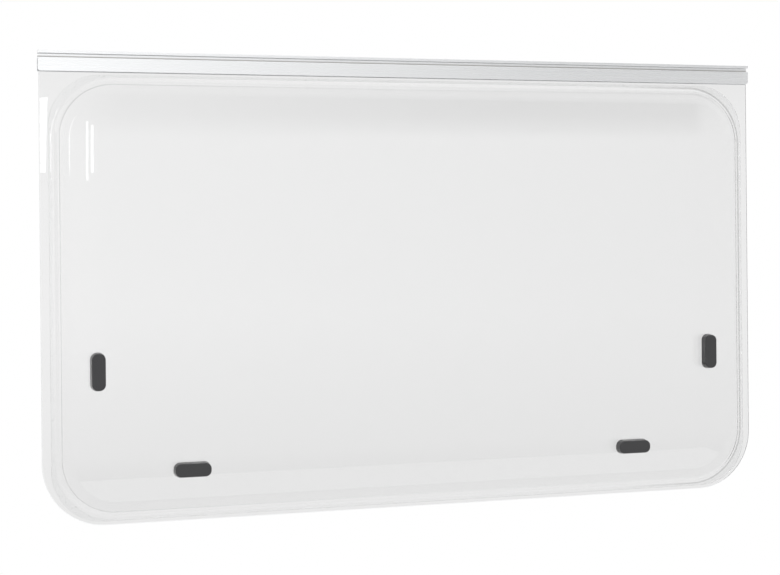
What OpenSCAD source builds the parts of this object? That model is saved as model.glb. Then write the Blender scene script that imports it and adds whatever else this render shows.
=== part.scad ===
// Top-hung double sheet window for a caravan, lying in its closed place.
// The side that faces the room looks along -Y, the top is +Z.
// The origin is the middle of the hinge rail's flat inner face.

/* [Overall] */
// Height from the top of the rail to the bottom edge of the outer sheet
window_h = 600; // [450:1:800]
// Length of the hinge rail
rail_len = 1000; // [700:1:1400]
// How far the rail runs past the outer sheet at each end
rail_overhang = 1.2; // [0:0.1:4]

/* [Outer sheet] */
// Thickness of the outer sheet
outer_t = 3; // [2:0.5:4]
// Radius of its two bottom corners
outer_corner_r = 80; // [70:1:100]
// Radius of its broken edge
outer_edge_r = 0.8; // [0.3:0.1:0.9]

/* [Inner sheet] */
// Thickness of the formed inner sheet
inner_t = 2.5; // [2:0.1:3]
// Distance from the outer sheet's side edge to the inner sheet's edge
trim_side = 11.3; // [8:0.1:12]
// Distance from the outer sheet's bottom edge to the inner sheet's edge
trim_bottom = 5.5; // [4:0.5:7]
// Gap between the rail's outer leaf and the inner sheet's top edge
trim_top_gap = 3; // [0.5:0.5:4]
// Corner radius of the inner sheet's edge
trim_corner_r = 65; // [60:1:75]
// Corner radius of the raised panel, at the top of its wall
panel_corner_r = 67; // [60:1:75]
// Width of the bonding flange round the raised panel at the sides
flange_side = 6; // [5:0.5:8]
// Width of the flange at the bottom
flange_bottom = 4.5; // [4:0.5:6]
// Width of the flange at the top
flange_top = 5; // [4:0.5:7]
// How far the flat ledge stands above the flange
wall_rise = 3.4; // [2.5:0.1:6]
// Steepest angle of the wall
wall_angle = 48; // [35:1:60]
// Width of the flat ledge inside the wall
ledge_w = 11.5; // [8:0.5:14]
// How far the pillowed panel rises above its ledge
pillow_rise = 1.6; // [0.8:0.1:5]

/* [Bond between the sheets] */
// Thickness of the adhesive line
bond_t = 0.4; // [0.2:0.1:1]
// Distance that the adhesive stays back from the inner sheet's edge
bond_setback = 0.5; // [0.2:0.1:1]

/* [Hinge rail] */
// Height of the flat band on the rail's inner face
band_h = 17.6; // [12:0.1:22]
// Height of the hinge groove's mouth in the inner face
groove_h = 4.7; // [4.5:0.1:7]
// Depth of the hinge groove
groove_depth = 4.8; // [4.5:0.1:6]
// Height of the lip above the groove
lip_h = 4; // [3:0.1:6]
// Thickness of the rail's two leaves
leaf_t = 2; // [1.5:0.1:2.5]
// Thickness of the web between the groove and the slot
web_t = 2; // [1.5:0.1:3]
// Radius of the rail's outer edges
rail_edge_r = 0.5; // [0.2:0.1:0.7]
// Radius in the corners of the groove
groove_r = 1; // [0.5:0.1:2]
// How far the outer leaf hangs below the inner one
leaf_drop = 0.6; // [0.2:0.1:3]
// Corner cut at the lower ends of the inner leaf
end_cut = 2; // [1:0.1:3]

/* [Rail bedding] */
// Thickness of the bedding between the inner leaf and the outer sheet
bed_inner_t = 2; // [1:0.1:3]
// Thickness of the bedding behind the outer sheet
bed_outer_t = 0.8; // [0.5:0.1:2]
// Thickness of the bedding above the outer sheet's top edge
bed_top_t = 1.2; // [0.5:0.1:3]
// Height that the bedding stays back from the slot's mouth
bed_setback = 1.2; // [0.5:0.1:3]

/* [Latch blocks] */
// Length of a latch block at its foot
block_l = 48.7; // [40:0.1:60]
// Width of a latch block at its foot
block_w = 19.4; // [17:0.1:24]
// Height of a block above its pad
block_h = 10.5; // [6:0.5:12]
// Radius of the block's upright corners at the foot
block_corner_r = 8; // [7:0.5:8.4]
// Lean of the block's sides
block_draft = 6; // [0:1:8]
// Radius of the edge round the block's front face
block_edge_r = 1.6; // [1:0.1:2]
// Thickness of the pad under a block
pad_t = 0.5; // [0.5:0.1:1.5]
// How far the pad stays back from the block's edge
pad_setback = 0.6; // [0.3:0.1:1.5]
// Distance of a side block's middle from the outer sheet's side edge
side_block_in = 69.3; // [68:0.1:90]
// Height of a side block's middle above the bottom edge
side_block_up = 195; // [150:0.1:260]
// Distance of a bottom block's middle from the side edge
low_block_in = 188.6; // [150:0.1:260]
// Height of a bottom block's middle above the bottom edge
low_block_up = 66.2; // [62:0.1:80]

/* [Hidden] */
$fn = 96;
eps = 0.01;
fine_fn = 720;

// Levels of the window, measured up from the middle of the band
band_bottom = -band_h / 2;
groove_low = band_h / 2;
groove_high = groove_low + groove_h;
rail_top = groove_high + lip_h;
glass_bottom = rail_top - window_h;
glass_top = groove_low - web_t - bed_top_t;
outer_leaf_low = band_bottom - leaf_drop;
outer_w = rail_len - 2 * rail_overhang;
glass_h = glass_top - glass_bottom;

// Depths, measured towards the room from the outer sheet's inner face
band_face = leaf_t + bed_inner_t;
rail_back = -outer_t - bed_outer_t - leaf_t;
flange_mid = bond_t + inner_t / 2;
ledge_mid = flange_mid + wall_rise;
ledge_top = ledge_mid + inner_t / 2;
panel_top = ledge_top + pillow_rise;

// Wall of the raised panel: two equal arcs that meet at the steepest point
wall_r = wall_rise / (2 * (1 - cos(wall_angle)));
wall_run = 2 * wall_r * sin(wall_angle);
pillow_run = panel_corner_r - ledge_w;
pillow_r = (pow(pillow_run, 2) + pow(pillow_rise, 2)) / (2 * pillow_rise);

// Outline of the inner sheet and of the raised panel inside it
trim_w = outer_w - 2 * trim_side;
trim_top = outer_leaf_low - trim_top_gap;
trim_low = glass_bottom + trim_bottom;
trim_h = trim_top - trim_low;
foot_w = trim_w - 2 * flange_side;
foot_top = trim_top - flange_top;
foot_low = trim_low + flange_bottom;
foot_h = foot_top - foot_low;
foot_mid = (foot_top + foot_low) / 2;
foot_corner_r = panel_corner_r + wall_run;
// Enough to pass the trimmed edge at its corners
flange_reach = 3 * max(flange_side, flange_top, flange_bottom);

// Turns a piece that lies with its room side up into the upright window
module upright() {
    translate([0, band_face, 0]) rotate([90, 0, 0]) children();
}

// A flat plate with four round corners
module round_plate(w, h, r, t) {
    linear_extrude(t) {
        square([w - 2 * r, h], center = true);
        square([w, h - 2 * r], center = true);
        for (sx = [-1, 1], sy = [-1, 1]) {
            translate([sx * (w / 2 - r), sy * (h / 2 - r)]) circle(r);
        }
    }
}

// Carries a profile round a rectangle w by h with corner radius r.
// The profile's x runs outwards from the corner's axis, its y is the depth.
module carry_round(w, h, r) {
    runs = [[w / 2 - r, h - 2 * r, 0], [h / 2 - r, w - 2 * r, 90],
            [w / 2 - r, h - 2 * r, 180], [h / 2 - r, w - 2 * r, 270]];
    for (run = runs) {
        rotate([0, 0, run[2]])
            translate([run[0], 0, 0])
                rotate([90, 0, 0])
                    linear_extrude(run[1], center = true) children();
    }
    for (corner = [[1, 1, 0], [-1, 1, 90], [-1, -1, 180], [1, -1, 270]]) {
        translate([corner[0] * (w / 2 - r), corner[1] * (h / 2 - r), 0])
            rotate([0, 0, corner[2]])
                rotate_extrude(angle = 90) children();
    }
}

// A piece of a ring between two angles, under 90 degrees apart
module arc_band(r, t, from, to) {
    reach = 2 * (r + t);
    intersection() {
        difference() {
            circle(r + t / 2);
            circle(r - t / 2);
        }
        polygon([[0, 0], [reach * cos(from), reach * sin(from)], [reach * cos(to), reach * sin(to)]]);
    }
}

// Outer half of a plate's section: square inside, rounded at its outer edge
module edge_profile(run, t, r) {
    square([run - r, t]);
    translate([0, r]) square([run, t - 2 * r]);
    for (level = [r, t - r]) {
        translate([run - r, level]) circle(r);
    }
}

module outer_sheet() {
    r = outer_corner_r;
    tall = glass_h + r + outer_edge_r;
    color([0.93, 0.95, 0.95, 0.3])
        upright() translate([0, glass_bottom, -outer_t])
            intersection() {
                translate([0, tall / 2, 0]) {
                    carry_round(outer_w, tall, r) edge_profile(r, outer_t, outer_edge_r);
                    translate([r - outer_w / 2, r - tall / 2, 0])
                        cube([outer_w - 2 * r, tall - 2 * r, outer_t]);
                }
                translate([-outer_w, -eps, -eps]) cube([2 * outer_w, glass_h + eps, outer_t + 2 * eps]);
            }
}

// Section of the raised panel from the corner's axis to the foot of its wall
module panel_profile() {
    wall_start = panel_corner_r;
    wall_end = panel_corner_r + wall_run;
    // pillow: a shallow arc, level at the axis
    intersection() {
        difference() {
            translate([0, panel_top - pillow_r]) circle(pillow_r, $fn = fine_fn);
            translate([0, panel_top - inner_t - pillow_r]) circle(pillow_r, $fn = fine_fn);
        }
        translate([0, bond_t]) square([pillow_run, panel_top]);
    }
    // flat ledge
    translate([pillow_run, ledge_top - inner_t]) square([wall_start - pillow_run, inner_t]);
    // shoulder and foot of the wall
    translate([wall_start, ledge_mid - wall_r]) arc_band(wall_r, inner_t, 90 - wall_angle, 90);
    translate([wall_end, flange_mid + wall_r]) arc_band(wall_r, inner_t, 270 - wall_angle, 270);
    // flange
    translate([wall_end, bond_t]) square([flange_reach, inner_t]);
}

// The carried section reaches past the trimmed edge all round and is then cut to it
module inner_sheet_solid() {
    r = foot_corner_r + flange_reach;
    carried_w = foot_w + 2 * flange_reach;
    carried_h = foot_h + 2 * flange_reach;
    intersection() {
        translate([0, foot_mid, 0]) {
            carry_round(carried_w, carried_h, r) panel_profile();
            translate([r - carried_w / 2, r - carried_h / 2, panel_top - inner_t])
                cube([carried_w - 2 * r, carried_h - 2 * r, inner_t]);
        }
        translate([0, (trim_top + trim_low) / 2, 0]) round_plate(trim_w, trim_h, trim_corner_r, 2 * panel_top);
    }
}

module inner_sheet() {
    color([0.93, 0.95, 0.95, 0.3]) upright() inner_sheet_solid();
}

module sheet_bond() {
    back = bond_setback;
    color([0.85, 0.87, 0.87, 0.5])
        upright() difference() {
            translate([0, (trim_top + trim_low) / 2, 0])
                round_plate(trim_w - 2 * back, trim_h - 2 * back, trim_corner_r - back, bond_t);
            translate([0, foot_mid, -eps])
                round_plate(foot_w, foot_h, foot_corner_r, bond_t + 2 * eps);
        }
}

// A bar's section with four round corners
module round_bar(x0, y0, x1, y1, r) {
    translate([x0 + r, y0]) square([x1 - x0 - 2 * r, y1 - y0]);
    translate([x0, y0 + r]) square([x1 - x0, y1 - y0 - 2 * r]);
    for (x = [x0 + r, x1 - r], y = [y0 + r, y1 - r]) {
        translate([x, y]) circle(r);
    }
}

// Runs a section along the rail: its x is the depth towards the room, its y the height
module along_rail(length) {
    rotate([0, -90, 0]) linear_extrude(length, center = true) children();
}

module rail_section() {
    floor_at = band_face - groove_depth;
    head_low = groove_low - web_t;
    difference() {
        round_bar(floor_at - leaf_t, head_low, band_face, rail_top, rail_edge_r);
        round_bar(floor_at, groove_low, band_face + groove_depth, groove_high, groove_r);
    }
    round_bar(band_face - leaf_t, band_bottom, band_face, groove_low, rail_edge_r);
    round_bar(rail_back, head_low, band_face, groove_low, rail_edge_r);
    round_bar(rail_back, outer_leaf_low, rail_back + leaf_t, groove_low, rail_edge_r);
}

module hinge_rail() {
    color([0.78, 0.8, 0.81])
        upright() difference() {
            along_rail(rail_len) rail_section();
            for (side = [-1, 1]) {
                translate([side * rail_len / 2, band_bottom, band_face - leaf_t / 2])
                    rotate([0, 0, 45])
                        cube([end_cut * sqrt(2), end_cut * sqrt(2), leaf_t + 2 * eps], center = true);
            }
        }
}

module rail_bedding() {
    back = -outer_t - bed_outer_t;
    low = band_bottom + bed_setback;
    color([0.55, 0.56, 0.57])
        upright() along_rail(outer_w) difference() {
            translate([back, low]) square([bed_inner_t - back, groove_low - web_t - low]);
            translate([-outer_t, low - eps]) square([outer_t, glass_top - low + eps]);
        }
}

// Where each latch block stands: middle across, middle up, turn that points its local y
// outwards, and distance outwards from the line where the pillow becomes level
side_level_in = trim_side + flange_side + foot_corner_r;
low_level_up = trim_bottom + flange_bottom + foot_corner_r;
left_spot = [side_block_in - outer_w / 2, glass_bottom + side_block_up, 90, side_level_in - side_block_in];
right_spot = [outer_w / 2 - side_block_in, glass_bottom + side_block_up, -90, side_level_in - side_block_in];
low_left_spot = [low_block_in - outer_w / 2, glass_bottom + low_block_up, 180, low_level_up - low_block_up];
low_right_spot = [outer_w / 2 - low_block_in, glass_bottom + low_block_up, 180, low_level_up - low_block_up];

// Section of a block from the corner's axis outwards: leaning side, round front edge
module block_profile() {
    er = block_edge_r;
    lean = tan(block_draft);
    cy = block_h - er;
    cx = block_corner_r - cy * lean - er / cos(block_draft);
    polygon([
        [0, 0], [block_corner_r, 0],
        [cx + er * cos(block_draft), cy + er * sin(block_draft)],
        [cx, block_h], [0, block_h]
    ]);
    translate([cx, cy]) circle(er);
}

module latch_block(spot) {
    r = block_corner_r;
    color([0.2, 0.2, 0.21])
        upright() translate([spot[0], spot[1], panel_top + pad_t]) rotate([0, 0, spot[2]]) {
            carry_round(block_l, block_w, r) block_profile();
            translate([r - block_l / 2, r - block_w / 2, 0]) cube([block_l - 2 * r, block_w - 2 * r, block_h]);
        }
}

// How far the curved panel lies below its level middle, d outside the line where it is level
function pillow_drop(d) = d <= 0 ? 0 : pillow_r - sqrt(pow(pillow_r, 2) - pow(d, 2));

// The pad fills the space between the level foot of the block and the curved panel
module latch_pad(spot) {
    back = pad_setback;
    pad_l = block_l - 2 * back;
    pad_w = block_w - 2 * back;
    under = [for (i = [0:8]) let (y = pad_w * (i / 8 - 0.5)) [y, -pillow_drop(y + spot[3])]];
    color([0.3, 0.3, 0.31])
        upright() translate([spot[0], spot[1], panel_top]) rotate([0, 0, spot[2]])
            intersection() {
                translate([0, 0, -pillow_rise]) round_plate(pad_l, pad_w, block_corner_r - back, pillow_rise + pad_t);
                rotate([90, 0, 90]) linear_extrude(pad_l, center = true)
                    polygon(concat(under, [[pad_w / 2, pad_t], [-pad_w / 2, pad_t]]));
            }
}

module latch_block_left() { latch_block(left_spot); }
module latch_block_right() { latch_block(right_spot); }
module latch_block_low_left() { latch_block(low_left_spot); }
module latch_block_low_right() { latch_block(low_right_spot); }
module latch_pad_left() { latch_pad(left_spot); }
module latch_pad_right() { latch_pad(right_spot); }
module latch_pad_low_left() { latch_pad(low_left_spot); }
module latch_pad_low_right() { latch_pad(low_right_spot); }

outer_sheet();
inner_sheet();
sheet_bond();
hinge_rail();
rail_bedding();
latch_block_left();
latch_block_right();
latch_block_low_left();
latch_block_low_right();
latch_pad_left();
latch_pad_right();
latch_pad_low_left();
latch_pad_low_right();
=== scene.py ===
"""Looks of a top-hung caravan window: two clear acrylic sheets, a hinge rail and latch blocks."""

import math

import bpy
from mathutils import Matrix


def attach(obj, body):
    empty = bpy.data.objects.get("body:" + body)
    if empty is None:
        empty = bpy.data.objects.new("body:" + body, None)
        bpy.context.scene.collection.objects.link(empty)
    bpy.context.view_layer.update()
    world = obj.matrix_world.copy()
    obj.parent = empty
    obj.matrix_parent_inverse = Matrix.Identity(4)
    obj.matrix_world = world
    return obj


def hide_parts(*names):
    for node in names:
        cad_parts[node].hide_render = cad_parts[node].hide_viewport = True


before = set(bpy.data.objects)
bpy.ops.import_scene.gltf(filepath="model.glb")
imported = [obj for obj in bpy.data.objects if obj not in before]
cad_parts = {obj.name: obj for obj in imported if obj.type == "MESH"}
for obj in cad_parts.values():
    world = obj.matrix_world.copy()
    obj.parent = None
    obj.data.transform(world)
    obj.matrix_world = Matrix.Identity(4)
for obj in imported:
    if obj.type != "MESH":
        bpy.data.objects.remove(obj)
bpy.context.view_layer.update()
bpy.ops.object.select_all(action="DESELECT")
bpy.context.scene.view_settings.view_transform = "Standard"

# Camera
# A long lens stands 2.3 m off, left of the sash and a little above its middle, and looks
# 18 degrees to the right. The upright lines were kept upright, so the lens is shifted.
photo_width, photo_height = 780, 575
lens_px = 1707.0
eye_level_px = 228.2
camera_place = (-0.7398, -2.1632, -0.2098)
camera_roll, camera_turn = 0.0092, -0.3130
sensor_mm = 36.0

bpy.ops.object.camera_add(location=camera_place,
                          rotation=(math.radians(90), camera_roll, camera_turn))
camera = bpy.context.object
camera.name = "camera"
camera.data.sensor_width = sensor_mm
camera.data.lens = lens_px / photo_width * sensor_mm
camera.data.shift_y = (eye_level_px - photo_height / 2) / photo_width
bpy.context.scene.camera = camera

# Outer sheet
# The outer sheet is clear cast acrylic (PMMA) 3 mm thick. It is cut square at the top, where
# the rail grips it, and round at the two lower corners, and its rim is milled and broken.
outer_width, outer_top, outer_bottom = 0.9976, 0.0056, -0.5825
outer_inner_face = 0.004
outer_thickness = 0.003
outer_corner = 0.080
outer_rim_round = 0.0008


def linear(sheet_hex):
    """A colour written as sRGB hex, as the linear numbers that a shader takes."""
    parts = [int(sheet_hex[i:i + 2], 16) / 255 for i in (1, 3, 5)]
    return [p / 12.92 if p <= 0.04045 else ((p + 0.055) / 1.055) ** 2.4 for p in parts] + [1.0]


def add_node(tree, kind, settings=None, links=None):
    """Adds a node, sets its options and input values, and links its inputs to other sockets."""
    node = tree.nodes.new(kind)
    for name, value in (settings or {}).items():
        if isinstance(name, int) or name in node.inputs:
            node.inputs[name].default_value = value
        else:
            setattr(node, name, value)
    for name, socket in (links or {}).items():
        tree.links.new(socket, node.inputs[name])
    return node


def start_material(name, base, roughness, **shader_values):
    """A new material with constant values on its shader's own sockets."""
    material = bpy.data.materials.new(name)
    material.use_nodes = True
    shader = material.node_tree.nodes["Principled BSDF"]
    shader.inputs["Base Color"].default_value = linear(base)
    shader.inputs["Roughness"].default_value = roughness
    for socket_name, value in shader_values.items():
        shader.inputs[socket_name.replace("_", " ")].default_value = value
    place = add_node(material.node_tree, "ShaderNodeTexCoord")
    return material, material.node_tree, shader, place.outputs["Object"]


def pick(piece, part, wanted):
    """In edit mode, selects the vertices, edges or faces whose middle the test takes."""
    bpy.ops.object.mode_set(mode="EDIT")
    bpy.ops.mesh.select_mode(type=part)
    bpy.ops.mesh.select_all(action="DESELECT")
    bpy.ops.object.mode_set(mode="OBJECT")
    mesh = piece.data
    if part == "VERT":
        for vertex in mesh.vertices:
            vertex.select = wanted(vertex.co)
    elif part == "EDGE":
        for edge in mesh.edges:
            ends = [mesh.vertices[i].co for i in edge.vertices]
            edge.select = wanted((ends[0] + ends[1]) / 2)
    else:
        for face in mesh.polygons:
            face.select = wanted(face.center)
    bpy.ops.object.mode_set(mode="EDIT")


def apply_modifier(piece, kind, **settings):
    """Adds a modifier with its settings and applies it."""
    modifier = piece.modifiers.new(kind.lower(), kind)
    for name, value in settings.items():
        setattr(modifier, name, value)
    bpy.ops.object.modifier_apply(modifier=modifier.name)


def upright_blank(name, width, top, bottom, depth, middle=0.0):
    """An upright flat blank that faces the room, in the X-Z plane at the given depth."""
    if bpy.context.mode != "OBJECT":
        bpy.ops.object.mode_set(mode="OBJECT")
    bpy.ops.object.select_all(action="DESELECT")
    bpy.ops.mesh.primitive_plane_add(size=1, location=(middle, depth, (top + bottom) / 2),
                                     rotation=(math.radians(90), 0, 0))
    blank = bpy.context.object
    blank.name = name
    blank.data.name = name
    blank.scale = (width, top - bottom, 1)
    bpy.ops.object.transform_apply(location=True, rotation=True, scale=True)
    return blank


def finish_shading(piece, angle=35.0):
    """Smooth curves, crisp edges, and flat faces that stay flat to the eye."""
    bpy.ops.object.mode_set(mode="OBJECT")
    bpy.ops.object.shade_smooth_by_angle(angle=math.radians(angle))
    apply_modifier(piece, "WEIGHTED_NORMAL", keep_sharp=True, weight=100)


# Cast PMMA has a hard gloss. The outer sheet is tinted a light neutral grey. Its casting leaves
# waves about 90 mm long that only show as a slight wander in the reflections, and wiping
# leaves faint smears about 35 mm wide.
tinted_acrylic, tree, shader, place = start_material(
    "tinted_cast_acrylic", "#EAEAEA", 0.0, IOR=1.49, Transmission_Weight=1.0)
waves = add_node(tree, "ShaderNodeTexNoise", {"Scale": 1000 / 90, "Detail": 1.0}, {"Vector": place})
ripple = add_node(tree, "ShaderNodeBump", {"Strength": 1.0, "Distance": 0.00002},
                  {"Height": waves.outputs["Fac"]})
smears = add_node(tree, "ShaderNodeTexNoise", {"Scale": 1000 / 35, "Detail": 4.0},
                  {"Vector": place})
polish = add_node(tree, "ShaderNodeMapRange", {"From Min": 0.45, "From Max": 0.8, "To Min": 0.0,
                  "To Max": 0.01}, {"Value": smears.outputs["Fac"]})
tree.links.new(ripple.outputs["Normal"], shader.inputs["Normal"])
tree.links.new(polish.outputs["Result"], shader.inputs["Roughness"])

# The milled rim is the same PMMA with cutter marks about 1.2 mm apart, so it is satin and
# shows as a soft grey line round the clear sheet.
milled_acrylic, tree, shader, place = start_material(
    "milled_acrylic_rim", "#FBFCFC", 0.3, IOR=1.49, Transmission_Weight=1.0)
marks = add_node(tree, "ShaderNodeTexNoise", {"Scale": 1000 / 1.2, "Detail": 2.0},
                 {"Vector": place})
relief = add_node(tree, "ShaderNodeBump", {"Strength": 0.5, "Distance": 0.0001},
                  {"Height": marks.outputs["Fac"]})
satin = add_node(tree, "ShaderNodeMapRange", {"From Min": 0.3, "From Max": 0.7, "To Min": 0.2,
                 "To Max": 0.4}, {"Value": marks.outputs["Fac"]})
tree.links.new(relief.outputs["Normal"], shader.inputs["Normal"])
tree.links.new(satin.outputs["Result"], shader.inputs["Roughness"])

outer = upright_blank("clear_outer_sheet", outer_width, outer_top, outer_bottom, outer_inner_face)
pick(outer, "VERT", lambda p: p.z < (outer_top + outer_bottom) / 2)
bpy.ops.mesh.bevel(offset=outer_corner, segments=28, affect="VERTICES")
bpy.ops.object.mode_set(mode="OBJECT")
apply_modifier(outer, "SOLIDIFY", thickness=outer_thickness, offset=-1, use_even_offset=True)
outer_back = outer_inner_face + outer_thickness
pick(outer, "EDGE", lambda p: p.z < outer_top - 0.0001 and (
    abs(p.y - outer_inner_face) < 1e-5 or abs(p.y - outer_back) < 1e-5))
bpy.ops.mesh.bevel(offset=outer_rim_round, segments=3, affect="EDGES")
finish_shading(outer)
outer.data.materials.append(tinted_acrylic)
outer.data.materials.append(milled_acrylic)
for face in outer.data.polygons:
    face.material_index = 0 if abs(face.normal.y) > 0.999 else 1
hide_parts("outer_sheet")
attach(outer, "root")

# Inner sheet
# The inner sheet is clear acrylic 2.5 mm thick, drawn warm into a shallow tray. A flange lies
# on the outer sheet, then come a round wall, a flat ledge and a gently pillowed middle.
inner_thickness = 0.0025
bond_thickness = 0.0004
trim_width, trim_top, trim_bottom, trim_corner = 0.975, -0.0124, -0.5770, 0.065
foot_width, foot_top, foot_bottom = 0.9680, -0.0152, -0.5750
wall_rise, wall_run = 0.0034, 0.0104
lead_run, lead_rise = 0.0016, 0.000018
shoulder_corner = 0.067
ledge_width = 0.0115
pillow_rise = 0.0016
# How far the bands of painted shade reach, up from the wall's foot and down from its shoulder
foot_shade_rise = 0.00030
shoulder_shade_fall = 0.00012

wall_angle = 2 * math.atan((wall_rise - lead_rise) / wall_run)
wall_radius = wall_run / (2 * math.sin(wall_angle))
foot_corner = shoulder_corner + wall_run
pillow_run = shoulder_corner - ledge_width
pillow_radius = (pillow_run ** 2 + pillow_rise ** 2) / (2 * pillow_rise)
flange_face = bond_thickness + inner_thickness
ledge_face = flange_face + wall_rise

# The room side's section, as distance in from the foot of the wall and height over the
# outer sheet: slow rise of the flange, hollow arc, round shoulder, ledge, then the pillow up
# to its level middle
section = [(-lead_run, flange_face), (-lead_run / 2, flange_face + 0.3 * lead_rise),
           (0.0, flange_face + lead_rise)]
hollow_radius = wall_radius - inner_thickness / 2
shoulder_radius = wall_radius + inner_thickness / 2
for step in range(1, 13):
    turned = wall_angle * step / 12
    section.append((hollow_radius * math.sin(turned),
                    flange_face + lead_rise + hollow_radius * (1 - math.cos(turned))))
for step in range(11, -1, -1):
    turned = wall_angle * step / 12
    section.append((wall_run - shoulder_radius * math.sin(turned),
                    ledge_face - shoulder_radius * (1 - math.cos(turned))))
section.append((wall_run + ledge_width / 2, ledge_face))
for reach in (0, 2, 5, 8, 12, 16, 20, 25, 30, 35, 40, 45, 50, 53):
    from_axis = pillow_run - reach / 1000
    fall = pillow_radius - math.sqrt(pillow_radius ** 2 - from_axis ** 2)
    section.append((wall_run + ledge_width + reach / 1000, ledge_face + pillow_rise - fall))


def rounded_blank(name, width, top, bottom, depth, corner, steps=28):
    """An upright blank with four round corners, left in edit mode with its face selected."""
    blank = upright_blank(name, width, top, bottom, depth)
    pick(blank, "VERT", lambda p: True)
    bpy.ops.mesh.bevel(offset=corner, segments=steps, affect="VERTICES")
    bpy.ops.mesh.select_mode(type="FACE")
    bpy.ops.mesh.select_all(action="SELECT")
    return blank


def join_rings(piece, ring):
    """Takes the ring blank's outline into the piece and bridges the two at one depth."""
    bpy.ops.object.mode_set(mode="OBJECT")
    depth = ring.data.vertices[0].co.y
    for blank in (piece, ring):
        if len(blank.data.polygons) == 1:
            bpy.context.view_layer.objects.active = blank
            bpy.ops.object.mode_set(mode="EDIT")
            bpy.ops.mesh.select_all(action="SELECT")
            bpy.ops.mesh.delete(type="ONLY_FACE")
            bpy.ops.object.mode_set(mode="OBJECT")
    bpy.ops.object.select_all(action="DESELECT")
    ring.select_set(True)
    piece.select_set(True)
    bpy.context.view_layer.objects.active = piece
    bpy.ops.object.join()
    pick(piece, "EDGE", lambda p: abs(p.y - depth) < 1e-6)
    bpy.ops.mesh.bridge_edge_loops()
    bpy.ops.mesh.select_all(action="SELECT")
    bpy.ops.mesh.normals_make_consistent(inside=False)
    bpy.ops.object.mode_set(mode="OBJECT")
    if sum(face.normal.y * face.area for face in piece.data.polygons) > 0:
        piece.data.flip_normals()


# The inner sheet is clear PMMA with the same gloss. Drawing it warm has left it a little wavier,
# about 60 mm from crest to crest.
clear_acrylic, tree, shader, place = start_material(
    "clear_drawn_acrylic", "#F9F9F9", 0.0, IOR=1.49, Transmission_Weight=1.0)
waves = add_node(tree, "ShaderNodeTexNoise", {"Scale": 1000 / 60, "Detail": 1.0}, {"Vector": place})
ripple = add_node(tree, "ShaderNodeBump", {"Strength": 1.0, "Distance": 0.00003},
                  {"Height": waves.outputs["Fac"]})
smears = add_node(tree, "ShaderNodeTexNoise", {"Scale": 1000 / 30, "Detail": 4.0},
                  {"Vector": place})
polish = add_node(tree, "ShaderNodeMapRange", {"From Min": 0.45, "From Max": 0.8, "To Min": 0.0,
                  "To Max": 0.01}, {"Value": smears.outputs["Fac"]})
tree.links.new(ripple.outputs["Normal"], shader.inputs["Normal"])
tree.links.new(polish.outputs["Result"], shader.inputs["Roughness"])

# Painted shade: a thin grey line is painted into the sheet's colour along the foot and the shoulder
# of the wall, for the dark lines the bends show there. The one at the foot is darker to the right
# and the one at the shoulder is darker to the left, with a small random wobble.
painted_bend_shades = []
for shade_name, start, end, left_shade, right_shade in (
        ("acrylic_foot_painted_shade", 0.30, 0.47, "#F9F9F9", "#D2D2D2"),
        ("acrylic_shoulder_painted_shade", -0.45, 0.0, "#E4E4E4", "#F6F6F6")):
    painted_bend_shade, tree, shader, place = start_material(
        shade_name, left_shade, 0.05, IOR=1.49, Transmission_Weight=1.0)
    painted_bend_shades.append(painted_bend_shade)
    spot = add_node(tree, "ShaderNodeSeparateXYZ", {}, {"Vector": place})
    across = add_node(tree, "ShaderNodeMapRange", {"From Min": start, "From Max": end},
                      {"Value": spot.outputs["X"]})
    shade_wobble = add_node(tree, "ShaderNodeTexNoise", {"Scale": 1000 / 5, "Detail": 2.0},
                    {"Vector": place})
    uneven = add_node(tree, "ShaderNodeMapRange", {"From Min": 0.3, "From Max": 0.7,
                      "To Min": -0.06, "To Max": 0.06}, {"Value": shade_wobble.outputs["Fac"]})
    share = add_node(tree, "ShaderNodeMath", {"operation": "ADD"},
                     {0: across.outputs["Result"], 1: uneven.outputs["Result"]})
    tone = add_node(tree, "ShaderNodeMix", {"data_type": "RGBA", 6: linear(left_shade),
                    7: linear(right_shade)}, {0: share.outputs[0]})
    tree.links.new(tone.outputs[2], shader.inputs["Base Color"])

flange_depth = outer_inner_face - flange_face
inner = rounded_blank("clear_inner_sheet", foot_width + 2 * lead_run, foot_top + lead_run,
                      foot_bottom - lead_run, flange_depth, foot_corner + lead_run)
for nearer, further in zip(section, section[1:]):
    bpy.ops.mesh.inset(thickness=further[0] - nearer[0], depth=further[1] - nearer[1])
bpy.ops.object.mode_set(mode="OBJECT")
flange = rounded_blank("flange", trim_width, trim_top, trim_bottom, flange_depth, trim_corner)
join_rings(inner, flange)
for material in (clear_acrylic, milled_acrylic, *painted_bend_shades):
    inner.data.materials.append(material)
# Faces in thin bands at the wall's foot and shoulder take the painted shade materials.
for face in inner.data.polygons:
    rise = outer_inner_face - face.center.y
    at_foot = lead_rise < rise - flange_face < foot_shade_rise
    at_shoulder = ledge_face - shoulder_shade_fall < rise < ledge_face - 0.00001
    if abs(face.normal.y) < 0.9999 and (at_foot or at_shoulder):
        face.material_index = 2 if at_foot else 3
apply_modifier(inner, "SOLIDIFY", thickness=inner_thickness, offset=-1, use_even_offset=True)
finish_shading(inner, 40.0)
for face in inner.data.polygons:
    if abs(face.normal.y) < 0.1:
        face.material_index = 1
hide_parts("inner_sheet")
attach(inner, "root")

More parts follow.
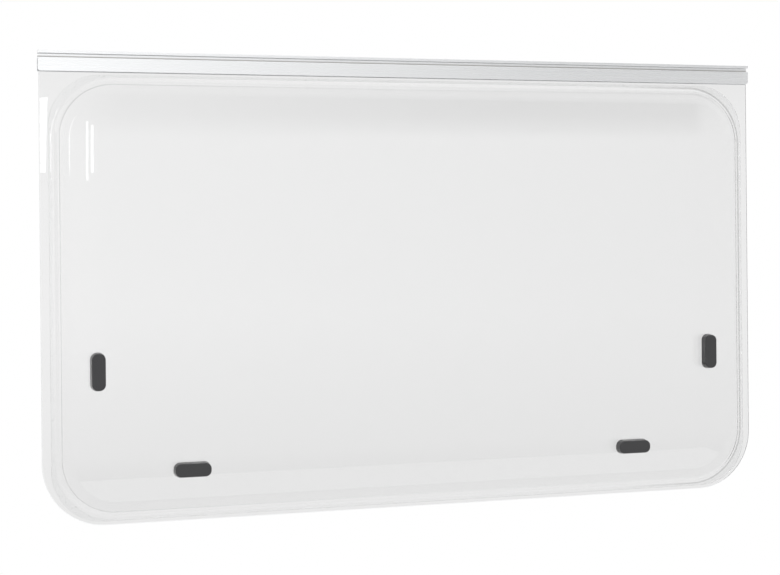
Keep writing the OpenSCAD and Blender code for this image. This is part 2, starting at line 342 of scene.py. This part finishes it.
# Bond line
# The two sheets are joined by a film of clear acrylic cement under the flange. It has cured
# with a slight haze.
cement, tree, shader, place = start_material(
    "clear_acrylic_cement", "#F6F8F8", 0.2, IOR=1.49, Transmission_Weight=1.0, Alpha=0.15)
haze = add_node(tree, "ShaderNodeTexNoise", {"Scale": 1000 / 4.0, "Detail": 3.0}, {"Vector": place})
cloud = add_node(tree, "ShaderNodeMapRange", {"From Min": 0.3, "From Max": 0.7, "To Min": 0.1,
                 "To Max": 0.3}, {"Value": haze.outputs["Fac"]})
tree.links.new(cloud.outputs["Result"], shader.inputs["Roughness"])
film_gap = 0.00003
film_back = 0.0005
film = rounded_blank("cement_film", trim_width - 2 * film_back, trim_top - film_back,
                     trim_bottom + film_back, outer_inner_face - bond_thickness + film_gap,
                     trim_corner - film_back)
film_inside = rounded_blank("film_inside", foot_width, foot_top, foot_bottom,
                            outer_inner_face - bond_thickness + film_gap, foot_corner)
join_rings(film, film_inside)
apply_modifier(film, "SOLIDIFY", thickness=bond_thickness - 2 * film_gap, offset=-1)
finish_shading(film)
film.data.materials.append(cement)
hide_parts("sheet_bond")
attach(film, "root")

# Hinge rail
# The rail is extruded aluminium with a natural anodised skin. The groove under its lip hangs on
# a strip on the caravan's wall, and its two leaves grip the outer sheet's top edge.
rail_half = 0.500
rail_end_cut = 0.002
# Corners of the section, as depth and height in mm
rail_section = [(0.0, -8.8), (0.0, 8.8), (4.8, 8.8), (4.8, 13.5), (0.0, 13.5), (0.0, 17.5),
                (6.8, 17.5), (6.8, 8.8), (9.8, 8.8), (9.8, -9.2), (7.8, -9.2), (7.8, 6.8),
                (2.0, 6.8), (2.0, -8.8)]

# Natural anodising is satin, and the die leaves lines along the length, about 0.6 mm apart,
# that stretch the highlights across the rail.
# The second tone is a painted shade for the bottom of the groove.
anodised_tone, groove_shade_tone = "#E6E7E8", "#ACAAA8"
anodised, tree, shader, place = start_material("anodised_aluminium", anodised_tone, 0.28,
                                               Metallic=1.0)
stretch = add_node(tree, "ShaderNodeMapping", {"Scale": (1.5, 1000 / 0.6, 1000 / 0.6)},
                   {"Vector": place})
lines = add_node(tree, "ShaderNodeTexNoise", {"Scale": 1.0, "Detail": 3.0, "Roughness": 0.7},
                 {"Vector": stretch.outputs["Vector"]})
satin = add_node(tree, "ShaderNodeMapRange", {"From Min": 0.3, "From Max": 0.7, "To Min": 0.24,
                 "To Max": 0.34}, {"Value": lines.outputs["Fac"]})
relief = add_node(tree, "ShaderNodeBump", {"Strength": 0.12, "Distance": 0.00002},
                  {"Height": lines.outputs["Fac"]})
tree.links.new(satin.outputs["Result"], shader.inputs["Roughness"])
tree.links.new(relief.outputs["Normal"], shader.inputs["Normal"])
# Painted shade: the bottom of the groove, where the lip shades it, is darkened to a grey line about
# 1 mm high.
spot = add_node(tree, "ShaderNodeSeparateXYZ", {}, {"Vector": place})
low_in_groove = add_node(tree, "ShaderNodeMapRange", {"From Min": 0.0098, "From Max": 0.0112,
                         "To Min": 1.0, "To Max": 0.0}, {"Value": spot.outputs["Z"]})
over_band = add_node(tree, "ShaderNodeMapRange", {"From Min": 0.0084, "From Max": 0.0087},
                     {"Value": spot.outputs["Z"]})
in_groove = add_node(tree, "ShaderNodeMapRange", {"From Min": 0.0025, "From Max": 0.0040},
                     {"Value": spot.outputs["Y"]})
before_back = add_node(tree, "ShaderNodeMath", {"operation": "LESS_THAN", 1: 0.0055},
                       {0: spot.outputs["Y"]})
painted_groove_shade = low_in_groove
for limit in (over_band, in_groove, before_back):
    painted_groove_shade = add_node(tree, "ShaderNodeMath", {"operation": "MULTIPLY"},
                     {0: painted_groove_shade.outputs[0], 1: limit.outputs[0]})
metal_tone = add_node(tree, "ShaderNodeMix", {"data_type": "RGBA", 6: linear(anodised_tone),
                      7: linear(groove_shade_tone)}, {0: painted_groove_shade.outputs[0]})
tree.links.new(metal_tone.outputs[2], shader.inputs["Base Color"])


def run_section(name, corners_mm, half_length, roundings):
    """Draws a section round its corners (depth, height), rounds some, and runs it along X."""
    bar = upright_blank(name, 0.001, 0.001, 0.0, 0.0)
    bpy.ops.object.mode_set(mode="EDIT")
    bpy.ops.mesh.select_all(action="SELECT")
    bpy.ops.mesh.merge(type="CENTER")
    bpy.ops.object.mode_set(mode="OBJECT")
    bar.data.vertices[0].co = (-half_length, corners_mm[0][0] / 1000, corners_mm[0][1] / 1000)
    bpy.ops.object.mode_set(mode="EDIT")
    bpy.ops.mesh.select_mode(type="VERT")
    bpy.ops.mesh.select_all(action="SELECT")
    for nearer, further in zip(corners_mm, corners_mm[1:]):
        along = (0, (further[0] - nearer[0]) / 1000, (further[1] - nearer[1]) / 1000)
        bpy.ops.mesh.extrude_vertices_move(TRANSFORM_OT_translate={"value": along})
    bpy.ops.mesh.select_all(action="SELECT")
    bpy.ops.mesh.edge_face_add()
    for radius, steps, wanted in roundings:
        pick(bar, "VERT", wanted)
        bpy.ops.mesh.bevel(offset=radius, segments=steps, affect="VERTICES")
    bpy.ops.mesh.select_all(action="SELECT")
    bpy.ops.mesh.extrude_region_move(TRANSFORM_OT_translate={"value": (2 * half_length, 0, 0)})
    bpy.ops.mesh.select_all(action="SELECT")
    bpy.ops.mesh.normals_make_consistent(inside=False)
    return bar


def outer_corner_of_rail(p):
    """The rail's outer corners, without those in its groove and in its slot."""
    return (p.y < 0.0001 or p.y > 0.0097 or p.z > 0.017
            or (p.z < 0 and (abs(p.y - 0.0078) < 1e-5 or abs(p.y - 0.002) < 1e-5)))


rail = run_section("extruded_hinge_rail", rail_section, rail_half,
                   [(0.001, 5, lambda p: abs(p.y - 0.0048) < 1e-5),
                    (0.0009, 5, lambda p: p.y < 0.0001 and 0.008 < p.z < 0.009),
                    (0.0005, 3, outer_corner_of_rail)])
for side in (-1, 1):
    bpy.ops.mesh.select_all(action="SELECT")
    bpy.ops.mesh.bisect(plane_co=(side * (rail_half - rail_end_cut), 0, 0), plane_no=(1, 0, 0))
pick(rail, "VERT", lambda p: abs(p.x) > rail_half - 0.0001 and p.z < -0.0082 and p.y < 0.0021)
bpy.ops.transform.translate(value=(0, 0, rail_end_cut))
finish_shading(rail)
rail.data.materials.append(anodised)
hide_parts("hinge_rail")
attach(rail, "root")

# Rail bedding
# A grey sealing compound fills the slot between the rail's leaves and the outer sheet. It
# has set dull, with a slightly uneven skin.
compound, tree, shader, place = start_material("sealing_compound", "#82868A", 0.7)
skin = add_node(tree, "ShaderNodeTexNoise", {"Scale": 1000 / 3.0, "Detail": 4.0}, {"Vector": place})
tone = add_node(tree, "ShaderNodeMix", {"data_type": "RGBA", 6: linear("#82868A"),
                7: linear("#96999B")}, {0: skin.outputs["Fac"]})
relief = add_node(tree, "ShaderNodeBump", {"Strength": 0.5, "Distance": 0.0002},
                  {"Height": skin.outputs["Fac"]})
tree.links.new(tone.outputs[2], shader.inputs["Base Color"])
tree.links.new(relief.outputs["Normal"], shader.inputs["Normal"])
bedding_section = [(2.0, -7.6), (3.98, -7.6), (3.98, 5.62), (7.02, 5.62), (7.02, -7.6),
                   (7.8, -7.6), (7.8, 6.8), (2.0, 6.8)]
bedding = run_section("rail_bedding_compound", bedding_section, outer_width / 2, [])
finish_shading(bedding)
bedding.data.materials.append(compound)
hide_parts("rail_bedding")
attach(bedding, "root")

# Latch blocks and pads
# Each block is moulded in dark grey glass-filled nylon, with leaning sides and a round front
# edge. It stands on a thin soft pad that takes up the sheet's curve.
block_length, block_width, block_height = 0.0487, 0.0194, 0.0105
block_corner = 0.0087
block_lean = math.radians(6)
block_edge = 0.0016
pad_top = 0.0084
block_places = {
    "left": (-0.4295, -0.3875, False), "right": (0.4295, -0.3875, False),
    "low_left": (-0.3102, -0.5163, True), "low_right": (0.3102, -0.5163, True),
}

# Spark-eroded nylon is matt with a grain about 0.6 mm wide, drawn at 0.9 mm so that it shows,
# and handling polishes it unevenly. A film of dust greys it where it is seen edge on.
nylon, tree, shader, place = start_material("moulded_nylon", "#242426", 0.35, IOR=1.53,
                                            Sheen_Weight=0.35)
grain = add_node(tree, "ShaderNodeTexNoise", {"Scale": 1000 / 0.9, "Detail": 3.0},
                 {"Vector": place})
relief = add_node(tree, "ShaderNodeBump", {"Strength": 0.4, "Distance": 0.0001},
                  {"Height": grain.outputs["Fac"]})
rubbed = add_node(tree, "ShaderNodeTexNoise", {"Scale": 1000 / 12.0, "Detail": 2.0},
                  {"Vector": place})
sheen = add_node(tree, "ShaderNodeMapRange", {"From Min": 0.35, "From Max": 0.65, "To Min": 0.28,
                 "To Max": 0.42}, {"Value": rubbed.outputs["Fac"]})
tree.links.new(relief.outputs["Normal"], shader.inputs["Normal"])
tree.links.new(sheen.outputs["Result"], shader.inputs["Roughness"])

# The pads are black foam rubber with open pores about 1 mm wide.
foam, tree, shader, place = start_material("foam_rubber", "#262626", 0.8)
pores = add_node(tree, "ShaderNodeTexVoronoi", {"Scale": 1000 / 1.0}, {"Vector": place})
relief = add_node(tree, "ShaderNodeBump", {"Strength": 0.6, "Distance": 0.0002},
                  {"Height": pores.outputs["Distance"]})
tree.links.new(relief.outputs["Normal"], shader.inputs["Normal"])

# The side leans in, then the edge rounds over, as distance in and height of each step
side_height = block_height - block_edge
side_fall = side_height * math.tan(block_lean)
rounding = []
for step in range(7):
    turned = block_lean + (math.radians(90) - block_lean) * step / 6
    rounding.append((block_edge * math.cos(turned), block_edge * math.sin(turned)))
edge_start_in = side_fall + block_edge / math.cos(block_lean) - rounding[0][0]
for place_name, (across, up, lying) in block_places.items():
    size_across = block_length if lying else block_width
    size_up = block_width if lying else block_length
    block = upright_blank("nylon_block_" + place_name, size_across, up + size_up / 2,
                          up - size_up / 2, outer_inner_face - pad_top, across)
    pick(block, "VERT", lambda p: True)
    bpy.ops.mesh.bevel(offset=block_corner, segments=12, affect="VERTICES")
    bpy.ops.mesh.select_all(action="SELECT")
    bpy.ops.mesh.inset(thickness=edge_start_in, depth=side_height + rounding[0][1])
    for nearer, further in zip(rounding, rounding[1:]):
        bpy.ops.mesh.inset(thickness=nearer[0] - further[0], depth=further[1] - nearer[1])
    pick(block, "EDGE", lambda p: p.y > outer_inner_face - pad_top - 1e-6)
    bpy.ops.mesh.edge_face_add()
    bpy.ops.mesh.select_all(action="SELECT")
    bpy.ops.mesh.normals_make_consistent(inside=False)
    finish_shading(block)
    block.data.materials.append(nylon)
    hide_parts("latch_block_" + place_name)
    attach(block, "root")
    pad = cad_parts["latch_pad_" + place_name]
    pad.data.materials.clear()
    pad.data.materials.append(foam)

# Studio
# A white room with a plain pale floor well below the sash, where its shadow falls out of the
# picture. The room is white behind the sash and far to its sides, and behind the camera it
# holds what the glossy sheets mirror.
floor_level = -1.05
floor_size = 3.9
floor_middle = -0.65
fill_light = 0.8
upper_wall_light = 1.4
low_light = 0.5

bpy.context.scene.world = bpy.data.worlds.new("studio")
bpy.context.scene.world.use_nodes = True
tree = bpy.context.scene.world.node_tree
tree.nodes.clear()
path = add_node(tree, "ShaderNodeLightPath")
sky_place = add_node(tree, "ShaderNodeTexCoord")
parts = add_node(tree, "ShaderNodeSeparateXYZ", {}, {"Vector": sky_place.outputs["Generated"]})


def ramp(axis, start, end, low, high):
    """A value that goes from low to high while the direction's X, Y or Z goes from start to end."""
    return add_node(tree, "ShaderNodeMapRange", {"From Min": start, "From Max": end, "To Min": low,
                    "To Max": high}, {"Value": parts.outputs[axis]}).outputs["Result"]


def blend(share, first, second):
    """A mix of two strengths, each a number or a socket."""
    numbers = {i: v for i, v in ((2, first), (3, second)) if isinstance(v, float)}
    sockets = {i: v for i, v in ((2, first), (3, second)) if not isinstance(v, float)}
    return add_node(tree, "ShaderNodeMix", {"data_type": "FLOAT", **numbers},
                    {0: share, **sockets}).outputs[0]


# A wide pale screen stands behind the camera and dims to the right. Above it run a beam that
# darkens to the right, a row of windows that ends in a dark corner, and the pale upper wall.
# Under it the room is shaded, and the ground in front of it darkens to the right.
screen = ramp("X", -0.30, 0.50, 1.90, 1.08)
beam = ramp("X", 0.05, 0.38, 1.25, 0.0)
beam = blend(ramp("X", 0.48, 0.52, 0.0, 1.0), beam, 0.8)
upper = blend(ramp("Z", 0.060, 0.085, 0.0, 0.5), screen, beam)
upper = blend(ramp("Z", 0.085, 0.130, 0.0, 1.0), upper, beam)
windows = blend(ramp("X", 0.32, 0.56, 0.0, 1.0), ramp("X", 0.05, 0.25, 1.0, 1.85), 0.0)
upper = blend(ramp("Z", 0.19, 0.22, 0.0, 1.0), upper, windows)
upper = blend(ramp("Z", 0.45, 0.60, 0.0, 1.0), upper, upper_wall_light)
room = blend(ramp("Z", -0.20, -0.05, 0.0, 1.0), low_light, upper)
ground = ramp("X", 0.10, 0.45, 1.2, 0.1)
room = blend(ramp("Z", -0.45, -0.30, 0.0, 1.0), ground, room)
# Far to the right and left, and behind the sash, it is white.
room = blend(ramp("X", 0.58, 0.75, 0.0, 1.0), room, 1.0)
room = blend(ramp("X", -0.60, -0.45, 1.0, 0.0), room, 1.0)
room = blend(ramp("Y", 0.2, 0.5, 0.0, 1.0), room, 1.0)
mirrored = add_node(tree, "ShaderNodeBackground", {"Color": (1, 1, 1, 1)}, {"Strength": room})
fill = add_node(tree, "ShaderNodeBackground", {"Color": (1, 1, 1, 1), "Strength": fill_light})
white = add_node(tree, "ShaderNodeBackground", {"Color": (1, 1, 1, 1), "Strength": 1.0})
# Matt surfaces get the even fill, and glossy and clear ones see the room.
polished_view = add_node(tree, "ShaderNodeMath", {"operation": "MAXIMUM"},
                         {0: path.outputs["Is Glossy Ray"], 1: path.outputs["Is Transmission Ray"]})
lit = add_node(tree, "ShaderNodeMixShader", {}, {0: polished_view.outputs[0],
               1: fill.outputs[0], 2: mirrored.outputs[0]})
# What is looked at straight through the sheets is white too, as it is beside them.
unmirrored = add_node(tree, "ShaderNodeMath", {"operation": "LESS_THAN", 1: 0.5},
                      {0: path.outputs["Glossy Depth"]})
looked_through = add_node(tree, "ShaderNodeMath", {"operation": "MULTIPLY"},
                          {0: path.outputs["Is Transmission Ray"], 1: unmirrored.outputs[0]})
clear_view = add_node(tree, "ShaderNodeMath", {"operation": "MAXIMUM"},
                      {0: path.outputs["Is Camera Ray"], 1: looked_through.outputs[0]})
seen = add_node(tree, "ShaderNodeMixShader", {}, {0: clear_view.outputs[0],
                1: lit.outputs[0], 2: white.outputs[0]})
add_node(tree, "ShaderNodeOutputWorld", {}, {"Surface": seen.outputs[0]})

bpy.ops.mesh.primitive_plane_add(size=floor_size, location=(0, floor_middle, floor_level))
floor = bpy.context.object
floor.name = "floor"
bpy.ops.object.transform_apply(location=True)
floor_paint = bpy.data.materials.new("floor_paint")
floor_paint.use_nodes = True
tree = floor_paint.node_tree
tree.nodes.clear()
matt = add_node(tree, "ShaderNodeBsdfDiffuse", {"Color": linear("#F4F4F4")})
glow = add_node(tree, "ShaderNodeEmission", {"Color": (1, 1, 1, 1), "Strength": 0.3})
path = add_node(tree, "ShaderNodeLightPath")
clear_view = add_node(tree, "ShaderNodeMath", {"operation": "MAXIMUM"},
                      {0: path.outputs["Is Camera Ray"], 1: path.outputs["Is Transmission Ray"]})
mirror_view = add_node(tree, "ShaderNodeMath", {"operation": "MAXIMUM"},
                       {0: clear_view.outputs[0], 1: path.outputs["Is Glossy Ray"]})
lifted = add_node(tree, "ShaderNodeAddShader", {}, {0: matt.outputs[0], 1: glow.outputs[0]})
seen = add_node(tree, "ShaderNodeMixShader", {}, {0: mirror_view.outputs[0], 1: matt.outputs[0],
                2: lifted.outputs[0]})
add_node(tree, "ShaderNodeOutputMaterial", {}, {"Surface": seen.outputs[0]})
floor.data.materials.append(floor_paint)

# Each lamp: place, width and height, and the brightness of its face, where 1 is white. The two
# strip lamps give the sheets their upright glints, and none is seen through the sheets.
lamps = {
    "left_softbox": ((-2.6, -1.8, 1.12), 2.0, 1.56, 1.2),
    "strip_lamp": ((-0.251, -2.17, 0.0325), 0.026, 0.190, 5.0),
    "second_strip_lamp": ((-0.290, -2.17, 0.0375), 0.018, 0.240, 5.0),
}
sash_middle = -0.28
for lamp_name, (lamp_place, lamp_width, lamp_height, brightness) in lamps.items():
    aim = (-lamp_place[0], -lamp_place[1], sash_middle - lamp_place[2])
    level = math.hypot(aim[0], aim[1])
    bpy.ops.object.light_add(type="AREA", location=lamp_place,
                             rotation=(math.atan2(level, -aim[2]), 0, math.atan2(-aim[0], aim[1])))
    lamp = bpy.context.object
    lamp.name = lamp_name
    lamp.data.shape = "RECTANGLE"
    lamp.data.size = lamp_width
    lamp.data.size_y = lamp_height
    lamp.data.energy = math.pi * lamp_width * lamp_height * brightness
    lamp.visible_transmission = False
